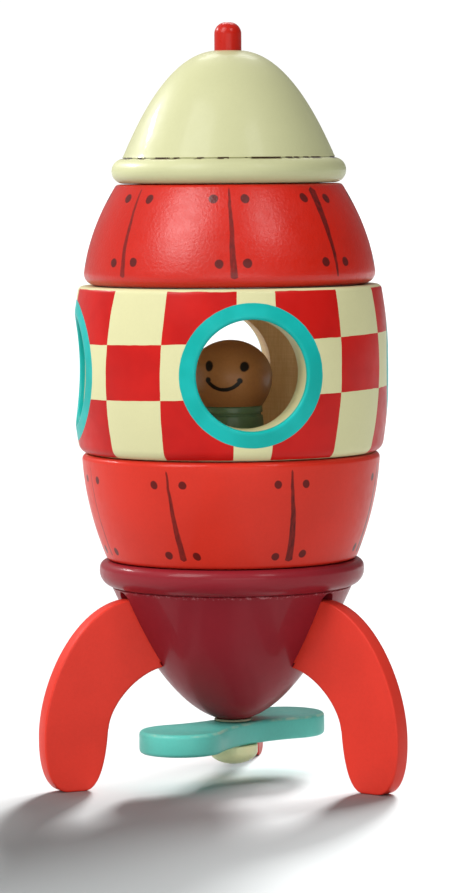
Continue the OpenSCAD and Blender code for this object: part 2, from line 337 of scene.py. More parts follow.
def seenFrom(spot, azimuth):
    # how far a point is to the right, and how far towards, someone who looks from an azimuth
    a = math.radians(azimuth)
    across = along(spot["mm"], (math.cos(a), math.sin(a), 0))
    towards = along(spot["mm"], (math.sin(a), -math.cos(a), 0))
    return across, towards


def handPainted(spot, amount, scale):
    # the surface point pushed about a little, so that painted edges aren't ruler straight
    push = fieldFrom(spot["mm"].tree, "TexNoise", 1, {"Vector": spot["mm"], "Scale": scale, "Detail": 2.0})
    centred = vectors("SUBTRACT", push, (0.5, 0.5, 0.5))
    return placeOf(vectors("ADD", spot["mm"], stretch(centred, 2 * amount, 2 * amount, 2 * amount)))


def newMaterial(name):
    material = bpy.data.materials.new(name)
    material.use_nodes = True
    tree = material.node_tree
    spot = placeOf(stretch(fieldFrom(tree, "TexCoord", "Object"), 1000, 1000, 1000))
    return material, tree.nodes["Principled BSDF"], spot


def mottled(spot, look):
    # slow drifts of shade, as brushed or sprayed paint has
    drift = noise(spot["mm"], 0.035, 3)
    fine = noise(spot["mm"], 0.9, 2)
    share = drift * 0.75 + fine * 0.25
    darker = tuple(c * (1 - look["mottle"]) for c in look["colour"][:3]) + (1,)
    lighter = tuple(min(1, c * (1 + look["mottle"])) for c in look["colour"][:3]) + (1,)
    return mixColour(between(share, 0.3, 0.7), darker, lighter)


def lookOf(colour, **changes):
    look = {"colour": colour, "mottle": 0.06, "peel": 0.012, "peelScale": 1.3, "ripple": 0.05,
            "roughness": 0.36, "shine": 0.32, "coat": 0.15, "coatRoughness": 0.14}
    look.update(changes)
    return look


def painted(name, look, marks=None):
    # satin lacquer over paint on sanded wood
    material, shader, spot = newMaterial(name)
    colour = mottled(spot, look)
    if marks:
        colour = marks(spot, colour)
    peel = noise(spot["mm"], look["peelScale"], 2, 0.6)
    ripple = noise(spot["mm"], 0.12, 2)
    haze = noise(spot["mm"], 0.25, 3)
    feed(shader, {
        "Base Color": colour,
        "Normal": bump(peel * look["peel"] + ripple * look["ripple"]),
        "Roughness": rescale(haze, 0.3, 0.7, look["roughness"] - 0.05, look["roughness"] + 0.07),
        "Coat Weight": look["coat"],
        "Coat Roughness": look["coatRoughness"],
        "Specular IOR Level": look["shine"],
    })
    return material


def turningLines(where, scale, detail=3, roughness=0.7):
    # the fine lines a lathe leaves, one after another along a radius or a height
    return noise(fieldFrom(where.tree, "CombineXYZ", 0, {2: where}), scale, detail, roughness)


def woodColour(spot, wood):
    # growth rings about a pith off to one side, with pores and a little drift
    pithX, pithY = wood["pith"]
    wobble = noise(stretch(spot["mm"], 1, 1, 0.15), 0.03, 3)
    distance = hypot(spot["x"] - pithX, spot["y"] - pithY)
    rings = calc("SINE", distance * (wood["ringsPerMm"] * 6.28) + wobble * 14)
    pores = noise(stretch(spot["mm"], 1, 1, 0.06), 2.4, 3, 0.7)
    share = rescale(rings, -1, 1, 0.3, 0.55) + rescale(pores, 0.35, 0.65, -0.2, 0.2)
    return mixColour(share, wood["light"], wood["dark"])


def bareWood(name, wood, turning="radius"):
    # turning lines run round the piece: on an end face by radius, in a bore by height
    material, shader, spot = newMaterial(name)
    lines = turningLines(spot[turning], wood["turningScale"], 4)
    fine = noise(stretch(spot["mm"], 1, 1, 0.2), 1.6, 3)
    shade = rescale(lines, 0.3, 0.7, 0.0, wood["turningShade"])
    feed(shader, {
        "Base Color": mixColour(shade, woodColour(spot, wood), wood["dark"]),
        "Normal": bump(lines * wood["turningDepth"] + fine * 0.03),
        "Roughness": wood["roughness"],
    })
    return material


def endFace(name, wood, look, lap):
    # bare end grain with the side's paint lapping over the edge in an uneven line
    material, shader, spot = newMaterial(name)
    uneven = noise(spot["mm"], 0.35, 4, 0.6) * lap["uneven"]
    share = between(spot["radius"] + uneven, lap["radius"], lap["radius"] + 0.5)
    lines = turningLines(spot["radius"], wood["turningScale"], 3, 0.6)
    feed(shader, {
        "Base Color": mixColour(share, woodColour(spot, wood), look["colour"]),
        "Normal": bump(lines * wood["turningDepth"]),
        "Roughness": rescale(share, 0, 1, wood["roughness"], look["roughness"]),
    })
    return material


def seamMarks(marks, low, high):
    # brush strokes down the hull with two rivet dots on each side, repeated round it
    def paintMarks(spot, colour):
        hand = handPainted(handPainted(spot, 0.9, 0.05), 0.3, 0.25)
        count = len(marks["seams"])
        pitch = 360 / count
        late = (between(hand["azimuth"], lateSpan["from"], lateSpan["full"])
                * between(hand["azimuth"], lateSpan["until"], lateSpan["easing"]))
        turn = (hand["azimuth"] - late * marks["late"] - (marks["first"] - pitch / 2)) / pitch
        index = calc("FLOOR", turn)
        local = (turn - index - 0.5) * pitch
        pick = (calc("FLOORED_MODULO", index, count) + 0.5) / count
        chosen, heavyTop = ramp(pick, [(i / count, seamLook) for i, seamLook in enumerate(marks["seams"])])
        topAt, bottomAt, weight = split(chosen, "SeparateColor")
        foot, head = low + marks["lowMargin"], high - marks["highMargin"]
        t = (hand["z"] - foot) / (head - foot)
        swing = marks["swing"]
        lean = rescale(topAt, 0, 1, -swing, swing) * t + rescale(bottomAt, 0, 1, -swing, swing) * (1 - t)
        away = abs(calc("RADIANS", local - lean) * spot["radius"])
        # thick at one end, thin at the other, and both ends rounded off by drawing the width in
        thick = rescale(abs(heavyTop - t), 0, 1, 1, 0.25)
        ends = between(t, -0.01, 0.025) * between(t, 1.01, 0.95)
        width = thick * weight * marks["width"] * ends - (1 - ends) * 0.4
        stroke = between(away - width, 0.2, -0.2)
        dryness = rescale(noise(stretch(spot["mm"], 1, 1, 0.12), 1.2, 3), 0.35, 0.65, 0.8, 1.0)
        strokeShare = stroke * dryness * rescale(weight, 0.3, 1, 0.62, 0.95)
        dots = []
        for rivet in marks["rivets"]:
            gap = hypot(away - rivet["away"], hand["z"] - rivet["z"])
            dots.append(between(gap, rivet["radius"] + 0.15, rivet["radius"] - 0.2))
        dotShare = largest(*dots) * marks["dotStrength"]
        return mixColour(largest(strokeShare, dotShare), colour, marks["ink"])
    return paintMarks


def gapLine(level, ink, reach):
    # a broken hairline between two glued pieces where the paint skipped
    def paintLine(spot, colour):
        near = between(abs(spot["z"] - level), reach, reach / 2)
        dash = noise(stretch(spot["mm"], 1, 1, 0), 0.165, 3, 0.65)
        return mixColour(near * between(dash, 0.52, 0.48), colour, ink)
    return paintLine


# finishes

cream = linear(185, 185, 142)
looks = {
    "cream": lookOf(cream, mottle=0.025, peel=0.006, roughness=0.42, shine=0.2, coat=0.1,
                    coatRoughness=0.09),
    "tip": lookOf(linear(176, 26, 12), peel=0.004, roughness=0.32, shine=0.2, coat=0.12,
                  coatRoughness=0.12),
    "upperRed": lookOf(linear(190, 26, 6), peel=0.12, peelScale=0.9, roughness=0.33, shine=0.42,
                       coat=0.06, coatRoughness=0.28),
    "drumCream": lookOf(linear(207, 203, 156), mottle=0.025, roughness=0.38, shine=0.15, coat=0.08),
    "lowerRed": lookOf(linear(204, 46, 30), roughness=0.38, shine=0.12, coat=0.16, coatRoughness=0.06),
    "crimson": lookOf(linear(138, 32, 42), roughness=0.36, shine=0.12, coat=0.18, coatRoughness=0.06),
    "finRed": lookOf(linear(214, 55, 41), roughness=0.42, shine=0.14, coat=0.05, coatRoughness=0.2),
    "teal": lookOf(linear(92, 194, 180), roughness=0.42, coat=0.1, coatRoughness=0.2),
    "pegCream": lookOf(linear(238, 240, 186), roughness=0.4),
    "headBrown": lookOf(linear(164, 112, 66), mottle=0.14, roughness=0.42, shine=0.25, coat=0.1),
    "bodyGreen": lookOf(linear(98, 130, 96), mottle=0.1, roughness=0.42),
}
markInk = linear(72, 6, 4)
beech = {"light": linear(220, 190, 148), "dark": linear(186, 148, 106), "pith": (34, 62),
         "ringsPerMm": 0.28, "turningScale": 1.6, "turningShade": 0.2, "turningDepth": 0.03,
         "roughness": 0.62}
boreWood = {**beech, "light": linear(252, 222, 166), "dark": linear(210, 168, 112), "turningScale": 1.1,
            "turningShade": 0.55, "turningDepth": 0.1}
print("finishes ready")


# tail: cone, rim and fins

tail = {
    "tipRadius": 5.5,       # flat at the cone's tip
    "slotDepth": 18.5,      # from the peg's shank to the slots' floor
    "slotBelowTop": 0.5,    # wood left over a slot's round end
    "slotPlay": 0.1,
    "axleHole": 22.0,
    "chamfer": 0.35,
    "rimLowEdge": 5.8,
    "rimHighEdge": 3.0,
    "rimOverCone": 4.5,     # how far the rim stands out over the cone
}
fin = {
    "thickness": 7.0,
    "azimuths": {"left": -74.5, "right": 45.5, "rear": 165.5},
    "legWidth": 25.0,
    "footWidth": 6.0,
    "footInset": 9.3,       # from the fin's reach to its foot
    "rootHeight": 25.4,
    "shoulder": 1.8,        # step of the root over the slot's lower end
    "kneeBelowCone": 2.2,
    "edge": 1.2,
}
coneLow, coneHigh = bottomOf("tail_cone"), topOf("tail_cone")
rimRadius = radiusOf("tail_rim")
coneRadius = rimRadius - tail["rimOverCone"]
coneFoot = (coneHigh - coneLow) / ((coneRadius / tail["tipRadius"]) ** 2 - 1)
axleRadius = 3.2
slotWidth = fin["thickness"] + 2 * tail["slotPlay"]
slotEnd = coneHigh - tail["slotBelowTop"] - slotWidth / 2
slotFloor = axleRadius + tail["slotDepth"]
finTop = slotEnd + fin["thickness"] / 10
finLow = finTop - fin["rootHeight"]


def coneAt(z):
    return coneRadius * math.sqrt((z - coneLow + coneFoot) / (coneHigh - coneLow + coneFoot))


def turnTo(bm, azimuth):
    # a shape drawn along +X is turned to face an azimuth, counted from -Y towards +X
    turn = Matrix.Rotation(math.radians(azimuth - 90), 3, "Z")
    bmesh.ops.rotate(bm, verts=bm.verts, cent=(0, 0, 0), matrix=turn)


def addInto(bm, other):
    mesh = bpy.data.meshes.new("joined")
    other.to_mesh(mesh)
    other.free()
    bm.from_mesh(mesh)
    bpy.data.meshes.remove(mesh)


def pushFace(bm, verts, push):
    # a flat face on the vertices, pushed out into a solid
    pushed = bmesh.ops.extrude_face_region(bm, geom=[bm.faces.new(verts)])["geom"]
    moved = [v for v in pushed if isinstance(v, bmesh.types.BMVert)]
    bmesh.ops.translate(bm, verts=moved, vec=push)
    bmesh.ops.recalc_face_normals(bm, faces=bm.faces)


def prism(outline, depth, plane="XZ"):
    # a flat outline pushed into a board, centred on its plane
    bm = bmesh.new()
    half = depth / 2
    if plane == "XZ":
        pushFace(bm, [bm.verts.new((a, -half, b)) for a, b in outline], (0, depth, 0))
    else:
        pushFace(bm, [bm.verts.new((a, b, -half)) for a, b in outline], (0, 0, depth))
    return bm


def roundBoard(bm, edge, flatNormal, segments=4):
    # rounds a board's rims, and keeps its two faces flat with a loop inside them
    axis = Vector(flatNormal)
    rims = [e for e in bm.edges
            if sum(abs(f.normal.dot(axis)) > 0.9 for f in e.link_faces) == 1]
    bmesh.ops.bevel(bm, geom=rims, offset=edge, offset_type="OFFSET", segments=segments, profile=0.5,
                    affect="EDGES", material=-1, clamp_overlap=True)
    flats = [f for f in bm.faces if abs(f.normal.dot(axis)) > 0.999]
    bmesh.ops.inset_individual(bm, faces=flats, thickness=lead, use_even_offset=True)


def buildTailCone():
    steps = 48
    crowding = 1.6  # brings the steps closer together near the tip, where the wall turns most
    chamfer = tail["chamfer"]
    wall = []
    for i in range(steps + 1):
        z = coneLow + (coneHigh - chamfer - coneLow) * (i / steps) ** crowding
        wall.append((coneAt(z), z))
    hole, deep = axleRadius + glue, coneLow + tail["axleHole"]
    outline = ([(0, deep), (hole, deep), (hole, coneLow)] + wall
               + [(coneAt(coneHigh) - chamfer, coneHigh), (0, coneHigh)])
    bm = spinOutline(outline, 216)
    low = finLow + fin["shoulder"] - tail["slotPlay"]
    half = slotWidth / 2
    slot = [(-half, low), (half, low)] + arc((0, slotEnd), half, 0, 180, 20)
    cutters = bmesh.new()
    for azimuth in fin["azimuths"].values():
        cutter = bmesh.new()
        # 40 mm takes the cutter well past the cone's side
        pushFace(cutter, [cutter.verts.new((slotFloor, a, b)) for a, b in slot], (40, 0, 0))
        turnTo(cutter, azimuth)
        addInto(cutters, cutter)
    bm = cutOut(bm, cutters)

    def crumbs(spot, colour):
        # the paint is broken along the edge under the rim
        near = between(spot["z"], coneHigh - 1.5, coneHigh - 0.5)
        grit = noise(spot["mm"], 1.1, 3, 0.7)
        return mixColour(near * between(grit, 0.54, 0.62), colour, linear(176, 104, 108))

    paint = painted("crimsonCone", looks["crimson"], crumbs)
    finishPiece(bm, "tailCone", "tail", ["tail_cone"], [paint])


def buildTailRim():
    low, high = bottomOf("tail_rim"), topOf("tail_rim")
    shape = turnedShape("tail_rim", rimRadius, rimRadius, tail["rimLowEdge"], tail["rimHighEdge"])
    discRadius, discFloor = radiusOf("tail_disc") + glue, bottomOf("tail_disc") - glue
    bm = spinOutline(turnedBlock(shape, [(0, low)], pocket(discRadius, discFloor, high)))
    flat = rimRadius - tail["rimHighEdge"]
    faceEnds(bm, lambda z: z > low + 1, 1, flat)
    paint = painted("crimsonRim", looks["crimson"])
    face = endFace("tailRimFace", beech, looks["crimson"], {"radius": flat - 2.2, "uneven": 2.0})
    finishPiece(bm, "tailRim", "tail", ["tail_rim"], [paint, face])


def finOutline():
    reach = max(radiusOf("fin_" + side) for side in fin["azimuths"])
    reach = math.sqrt(reach**2 - (fin["thickness"] / 2) ** 2)
    inner = reach - fin["legWidth"]
    footOut = reach - fin["footInset"]
    footIn = footOut - fin["footWidth"]
    knee = coneLow - fin["kneeBelowCone"]
    rootIn = slotFloor + tail["slotPlay"]
    lowRadius = coneAt(finLow) + tail["slotPlay"]
    shoulder = finLow + fin["shoulder"]
    # four curves, each with the two handles that draw it
    back = bezier((coneAt(finTop), finTop), (reach - 14, finTop - 2.5), (reach, finLow - 4),
                  (reach, knee - 1), 26)
    toe = bezier((reach, knee - 2), (reach, 7.5), (reach - 3.3, 0), (footOut, 0), 20)
    heel = bezier((footIn, 0), (footIn - 6, 0), (inner + 1, 10), (inner, knee + 1.2), 20)
    arch = bezier((inner - 0.2, knee + 1.8), (inner - 1, knee + 10), (lowRadius + 11, finLow - 2),
                  (lowRadius, finLow), 22)
    root = [(coneAt(shoulder) + tail["slotPlay"], shoulder), (rootIn, shoulder), (rootIn, finTop)]
    return back + toe + heel + arch + root


def buildFins():
    paint = painted("finPaint", looks["finRed"])
    for side, azimuth in fin["azimuths"].items():
        bm = prism(finOutline(), fin["thickness"])
        roundBoard(bm, fin["edge"], (0, 1, 0))
        turnTo(bm, azimuth)
        finishPiece(bm, "fin" + side.title(), "tail", ["fin_" + side], [paint], 30)


buildTailCone()
buildTailRim()
buildFins()
print("tail ready")


# propeller, washer and axle peg

propeller = {"length": 91.4, "bladeWidth": 31.0, "waistWidth": 17.0, "edge": 1.5, "azimuth": -47,
             "holeRadius": axleRadius + running}
axle = {"rimHeight": 2.4, "edge": 0.6, "gap": 0.25}


def buildPropeller():
    low, high = bottomOf("propeller"), topOf("propeller")
    blade, waist = propeller["bladeWidth"] / 2, propeller["waistWidth"] / 2
    lobe = propeller["length"] / 2 - blade
    neck = (lobe**2 + waist**2 - blade**2) / (2 * (blade - waist))
    turn = math.degrees(math.atan2(lobe, waist + neck))
    # clockwise from the left neck: upper neck, right blade, lower neck, left blade
    outline = (arc((0, waist + neck), neck, -90 - turn, -90 + turn, 20)[:-1]
               + arc((lobe, 0), blade, 90 + turn, -90 - turn, 56)[:-1]
               + arc((0, -waist - neck), neck, 90 - turn, 90 + turn, 20)[:-1]
               + arc((-lobe, 0), blade, 270 + turn, 90 - turn, 56)[:-1])
    bm = prism(outline, high - low, "XY")
    roundBoard(bm, propeller["edge"], (0, 0, 1))
    bm = cutOut(bm, cylinder(propeller["holeRadius"], 20))
    turnTo(bm, propeller["azimuth"])
    bmesh.ops.translate(bm, verts=bm.verts, vec=(0, 0, (low + high) / 2))

    def wornAndHighlitRim(spot, colour):
        # the upper rim is paler in patches: partly worn paint, partly a painted highlight
        rim = between(spot["z"], high - 1.3, high - 0.7) * between(spot["z"], high - 0.05, high - 0.3)
        patches = between(noise(spot["mm"], 0.16, 4, 0.6), 0.42, 0.66)
        return mixColour(rim * patches * 0.5, colour, linear(196, 214, 186))

    paint = painted("propellerPaint", looks["teal"], wornAndHighlitRim)
    finishPiece(bm, "propellerBoard", "propeller", ["propeller"], [paint], 30)


def buildAxlePeg():
    low, high = bottomOf("axle_peg"), topOf("axle_peg")
    headRadius = radiusOf("axle_peg")
    headTop = bottomOf("propeller") - axle["gap"]
    rim = headTop - axle["rimHeight"]
    dome = arc((0, 0), 1, -90, 0, 20)
    outline = [(headRadius * x, rim + (rim - low) * y) for x, y in dome]
    outline += arc((headRadius - axle["edge"], headTop - axle["edge"]), axle["edge"], 0, 90, 5)
    outline += [(axleRadius, headTop), (axleRadius, high), (0, high)]
    bm = spinOutline(outline, 96)
    finishPiece(bm, "axlePeg", "tail", ["axle_peg"],
                [painted("axlePegPaint", looks["pegCream"])])


def buildWasher():
    low, high = bottomOf("propeller_washer"), topOf("propeller_washer")
    outer, inner, edge = radiusOf("propeller_washer"), axleRadius + running, 0.2
    outline = [(inner, high), (inner, low), (outer - edge, low), (outer, low + edge),
               (outer, high - edge), (outer - edge, high), (inner, high)]
    bm = spinOutline(outline, 96)
    look = lookOf(linear(150, 150, 122), roughness=0.45, coat=0.0)
    finishPiece(bm, "propellerWasher", "tail", ["propeller_washer"],
                [painted("washerPlastic", look)])


buildPropeller()
buildAxlePeg()
buildWasher()
print("propeller ready")


# lower and upper hulls

seam = {
    "edge": 2.0,            # rounding of most turned edges
    "softEdge": 4.2,        # rounding of the drum's and the upper hull's lower edges
    "drumBulge": 2.8,
    "keeperWidth": 8.8,
    # how much slimmer each hull is than the rim or drum that it meets
    "lowerBottom": 2.9, "lowerTop": 0.6, "upperBottom": 1.6, "upperTop": 1.7,
    "lowerBulge": 1.8, "upperBulge": 2.6,
}
hullEdge = seam["edge"]
softEdge = seam["softEdge"]
drumEnd = radiusOf("window_drum") - seam["drumBulge"]
keeperOuter = radiusOf("lower_keeper_ring")
keeperInner = keeperOuter - seam["keeperWidth"]

# the seams right of the front come later than their even pitch: azimuths where that starts and ends
lateSpan = {"from": 30, "full": 46, "easing": 80, "until": 150}
lowerMarks = {
    "first": -76.5, "late": 10, "width": 1.5, "lowMargin": 2.6, "highMargin": 2.6, "swing": 5.0,
    "dotStrength": 0.9, "ink": markInk,
    # each seam: where its top and its bottom are (0 left, 1 right), weight, and where it is thick
    # (0 at the bottom, 1 at the top)
    "seams": [(0.38, 0.56, 0.4, 0), (0.3, 0.71, 0.85, 0), (0.69, 0.93, 1.0, 0), (0.6, 0.4, 0.9, 0),
              (0.4, 0.55, 0.7, 0), (0.62, 0.45, 0.85, 0), (0.38, 0.6, 0.95, 0), (0.5, 0.62, 0.6, 0)],
    "rivets": [{"z": 113.9, "away": 5.6, "radius": 1.5}, {"z": 87.9, "away": 5.4, "radius": 1.5}],
}
upperMarks = {
    "first": -53.6, "late": 0, "width": 1.7, "lowMargin": 3.2, "highMargin": 0.6, "swing": 5.0,
    "dotStrength": 0.92, "ink": markInk,
    "seams": [(0.25, 0.46, 0.7, 0), (0.52, 0.75, 0.8, 0), (0.46, 0.72, 1.0, 1), (0.5, 0.62, 0.8, 0),
              (0.4, 0.55, 0.9, 1), (0.6, 0.42, 0.75, 0), (0.45, 0.58, 0.85, 1), (0.55, 0.4, 0.8, 0)],
    "rivets": [{"z": 216.4, "away": 5.7, "radius": 1.7}, {"z": 193.4, "away": 5.2, "radius": 1.7}],
}


def buildHull(name, node, body, shape, marks, lookName, lowFace, highFace, endNames):
    bm = spinOutline(turnedBlock(shape, lowFace, highFace), 216)
    side = turnedSide(shape)
    lowFlat, highFlat = side[0][0], side[-1][0]
    middle = (shape["low"] + shape["high"]) / 2
    faceEnds(bm, lambda z: z < middle, 1, lowFlat)
    faceEnds(bm, lambda z: z > middle, 2, highFlat)
    look = looks[lookName]
    paint = painted(lookName + "Paint", look, seamMarks(marks, shape["low"], shape["high"]))
    lowEnd = endFace(endNames[0], beech, look, {"radius": lowFlat - 2.4, "uneven": 2.2})
    highEnd = endFace(endNames[1], beech, look, {"radius": highFlat - 2.4, "uneven": 2.2})
    finishPiece(bm, name, body, [node], [paint, lowEnd, highEnd])


def buildLowerHull():
    low, high = bottomOf("lower_hull"), topOf("lower_hull")
    shape = turnedShape("lower_hull", rimRadius - seam["lowerBottom"], drumEnd - seam["lowerTop"],
                        hullEdge, hullEdge, seam["lowerBulge"])
    lowFace = pocket(radiusOf("lower_magnet") + glue, topOf("lower_magnet") + glue, low)
    pegRadius = radiusOf("astronaut_peg") + glue
    highFace = pocket(pegRadius, bottomOf("astronaut_peg") - glue, high)
    ringFloor = bottomOf("lower_keeper_ring") - glue
    highFace += ringPocket(keeperInner - glue, keeperOuter + glue, ringFloor, high)
    buildHull("lowerHull", "lower_hull", "lower_section", shape, lowerMarks,
              "lowerRed", lowFace, highFace, ("lowerHullUnderside", "lowerHullTop"))


def buildUpperHull():
    low, high = bottomOf("upper_hull"), topOf("upper_hull")
    topRadius = radiusOf("nose_rim") - seam["upperTop"]
    shape = turnedShape("upper_hull", drumEnd - seam["upperBottom"], topRadius, softEdge, hullEdge,
                        seam["upperBulge"])
    ringFloor = topOf("upper_keeper_ring") + glue
    lowFace = [(0, low)] + ringPocket(keeperInner - glue, keeperOuter + glue, ringFloor, low)
    highFace = pocket(radiusOf("upper_disc") + glue, bottomOf("upper_disc") - glue, high)
    buildHull("upperHull", "upper_hull", "upper_section", shape, upperMarks,
              "upperRed", lowFace, highFace, ("upperHullUnderside", "upperHullTop"))


buildLowerHull()
buildUpperHull()
print("hulls ready")


# window drum

drum = {
    "wall": 16.9,
    "holeRadius": 20.0,
    "lip": 1.4,             # rounding of the hole's outer rim
    "ringRadius": 26.0,     # painted ring round a hole
    "portholes": [0, 96, 180, -93],
    "paintedDepth": 1.0,    # how far the outside's paint reaches into a tunnel
    "perSide": 28,          # mesh steps along each side of a panel
    "skinRings": 16, "lipSteps": 6, "tunnelSteps": 8, "boreRings": 8,
    "magnetRadius": 4.05,
    "magnets": [48, 138, 223.5, 313.5],
    # where the checks change colour round the drum, in degrees from the front porthole
    "columns": [6.7, 33, 56.5, 89.3, 102.7, 127, 150, 173.3],
    "rows": [145.3, 165.4],
    "rowLean": 0.03,        # the rows climb to the right of the front porthole
    "columnLean": 0.03,     # and the columns lean with height, in degrees a millimetre
    "columnShift": 0.8,
    "columnSpread": 0.035,  # share by which the columns spread where the drum is fattest
    "lowBorder": 0.25, "highBorder": 0.7,
}
drumLow, drumHigh = bottomOf("window_drum"), topOf("window_drum")
drumShape = turnedShape("window_drum", drumEnd, drumEnd, softEdge, hullEdge, seam["drumBulge"])
tunnelSlot, boreSlot, endSlot = 1, 2, 3  # the drum's materials, after its outside paint
boreRadius = drumEnd - drum["wall"]
portholeLevel = (drumLow + drumHigh) / 2


def extrudeLoop(bm, loop, place):
    # grows a closed loop of vertices into a new one, whose places the caller gives
    edges = [bm.edges.get(pair) for pair in zip(loop, loop[1:] + loop[:1])]
    grown = bmesh.ops.extrude_edge_only(bm, edges=edges)["geom"]
    grown = {v for v in grown if isinstance(v, bmesh.types.BMVert)}
    new = [next(e.other_vert(v) for e in v.link_edges if e.other_vert(v) in grown) for v in loop]
    for i, v in enumerate(new):
        v.co = place(i)
    return new


def give(faces, materialIndex):
    for face in faces:
        face.material_index = materialIndex


def onDrum(azimuth, z, radius):
    return Vector((radius * math.sin(azimuth), -radius * math.cos(azimuth), z))


def outerSkin(z):
    return bulgingSide(z, drumShape)


def innerSkin(z):
    return boreRadius


def buildPanel(bm, centre, west, east, low, high):
    # one porthole with the wall round it: outer skin, rounded lip, tunnel and inner skin
    count = 4 * drum["perSide"]
    hole, lip = drum["holeRadius"], drum["lip"]
    middle = math.radians(centre)
    crowding = 1.15  # brings the rings closer together near the hole

    def boundary(i, lowZ, highZ):
        side, step = divmod(i, drum["perSide"])
        t = step / drum["perSide"]
        ends = [(east, lowZ), (east, highZ), (west, highZ), (west, lowZ), (east, lowZ)]
        (a0, z0), (a1, z1) = ends[side], ends[side + 1]
        return math.radians(a0 + (a1 - a0) * t - centre), z0 + (z1 - z0) * t

    def rim(i, radius):
        angle = math.radians(-45 + 360 * i / count)
        return radius * math.cos(angle), radius * math.sin(angle)

    def holePoint(i, radius, skin, depth=0):
        across, up = rim(i, radius)
        z = portholeLevel + up
        reach = math.sqrt(skin(z) ** 2 - across**2) - depth
        point = Vector((across, -reach, z))
        return Matrix.Rotation(middle, 3, "Z") @ point

    def skinRings(loop, skin, lowZ, highZ, radius, rings):
        for k in range(1, rings + 1):
            t = (k / rings) ** crowding

            def place(i):
                across, up = rim(i, radius)
                z0 = portholeLevel + up
                a0 = math.asin(across / skin(z0))
                a1, z1 = boundary(i, lowZ, highZ)
                z = z0 + (z1 - z0) * t
                return onDrum(middle + a0 + (a1 - a0) * t, z, skin(z))

            loop = extrudeLoop(bm, loop, place)

    start = [bm.verts.new(holePoint(i, hole + lip, outerSkin)) for i in range(count)]
    for pair in zip(start, start[1:] + start[:1]):
        bm.edges.new(pair)
    skinRings(start, outerSkin, low, high, hole + lip, drum["skinRings"])
    loop = start
    for k in range(1, drum["lipSteps"] + 1):
        turn = math.radians(90 * k / drum["lipSteps"])
        loop = extrudeLoop(bm, loop, lambda i: holePoint(i, hole + lip * (1 - math.sin(turn)), outerSkin,
                                                         lip * (1 - math.cos(turn))))
    paintedDepth = lip + drum["paintedDepth"]
    loop = extrudeLoop(bm, loop, lambda i: holePoint(i, hole, outerSkin, paintedDepth))
    paintedFaces = set(bm.faces)
    for k in range(1, drum["tunnelSteps"] + 1):

        def tunnel(i):
            outer = holePoint(i, hole, outerSkin, paintedDepth)
            inner = holePoint(i, hole, innerSkin)
            return outer.lerp(inner, k / drum["tunnelSteps"])

        loop = extrudeLoop(bm, loop, tunnel)
    # the rear tunnel gets the bore's darker bare wood instead of the cream paint: painted shade
    give(set(bm.faces) - paintedFaces, boreSlot if centre == 180 else tunnelSlot)
    tunnelFaces = set(bm.faces)
    skinRings(loop, innerSkin, drumLow, drumHigh, hole, drum["boreRings"])
    give(set(bm.faces) - tunnelFaces, boreSlot)


def buildDrum():
    side = turnedSide(drumShape, 4)
    arcPoints = 9  # in each rounded edge
    lowArc, highArc = side[:arcPoints], side[-arcPoints:]
    low, high = lowArc[-1][1], highArc[0][1]
    bm = bmesh.new()
    holes = sorted(drum["portholes"])
    edges = [(a + b) / 2 for a, b in zip(holes, holes[1:])]
    edges = [(holes[-1] - 360 + holes[0]) / 2] + edges + [(holes[-1] + holes[0] + 360) / 2]
    for centre, west, east in zip(holes, edges, edges[1:]):
        buildPanel(bm, centre, west, east, low, high)
    bmesh.ops.remove_doubles(bm, verts=bm.verts, dist=0.01)
    for outline, level in ((lowArc[::-1], low), (highArc, high)):
        loop = [v for v in bm.verts if abs(v.co.z - level) < 0.001 and v.is_boundary]
        loop.sort(key=lambda v: math.atan2(v.co.x, -v.co.y))
        angles = [math.atan2(v.co.x, -v.co.y) for v in loop]
        flat, end = outline[-1]
        for radius, z in outline[1:] + [(flat - lead, end)]:
            loop = extrudeLoop(bm, loop, lambda i: onDrum(angles[i], z, radius))
        paintedFaces = set(bm.faces)
        extrudeLoop(bm, loop, lambda i: onDrum(angles[i], end, boreRadius))
        give(set(bm.faces) - paintedFaces, endSlot)
    bmesh.ops.remove_doubles(bm, verts=bm.verts, dist=0.01)
    bmesh.ops.recalc_face_normals(bm, faces=bm.faces)
    cutters = bmesh.new()
    for node in ("drum_lower_magnets", "drum_upper_magnets"):
        lowZ, highZ = bottomOf(node), topOf(node)
        upwards = lowZ < portholeLevel
        floor = highZ + glue if upwards else lowZ - glue
        mouth = drumLow - 1 if upwards else drumHigh + 1
        for azimuth in drum["magnets"]:
            cutter = cylinder(drum["magnetRadius"], abs(mouth - floor))
            away = keeperInner + seam["keeperWidth"] / 2
            place = onDrum(math.radians(azimuth), (mouth + floor) / 2, away)
            bmesh.ops.translate(cutter, verts=cutter.verts, vec=place)
            addInto(cutters, cutter)
    bm = cutOut(bm, cutters)
    tunnelPaint = painted("tunnelPaint", {**looks["drumCream"], "roughness": 0.5, "coat": 0.1})
    ends = endFace("drumEnds", beech, looks["drumCream"],
                   {"radius": drumEnd - softEdge - 2.0, "uneven": 2.0})
    finishPiece(bm, "windowDrum", "window_section", ["window_drum"],
                [drumPaint(), tunnelPaint, bareWood("boreWood", boreWood, "z"), ends])


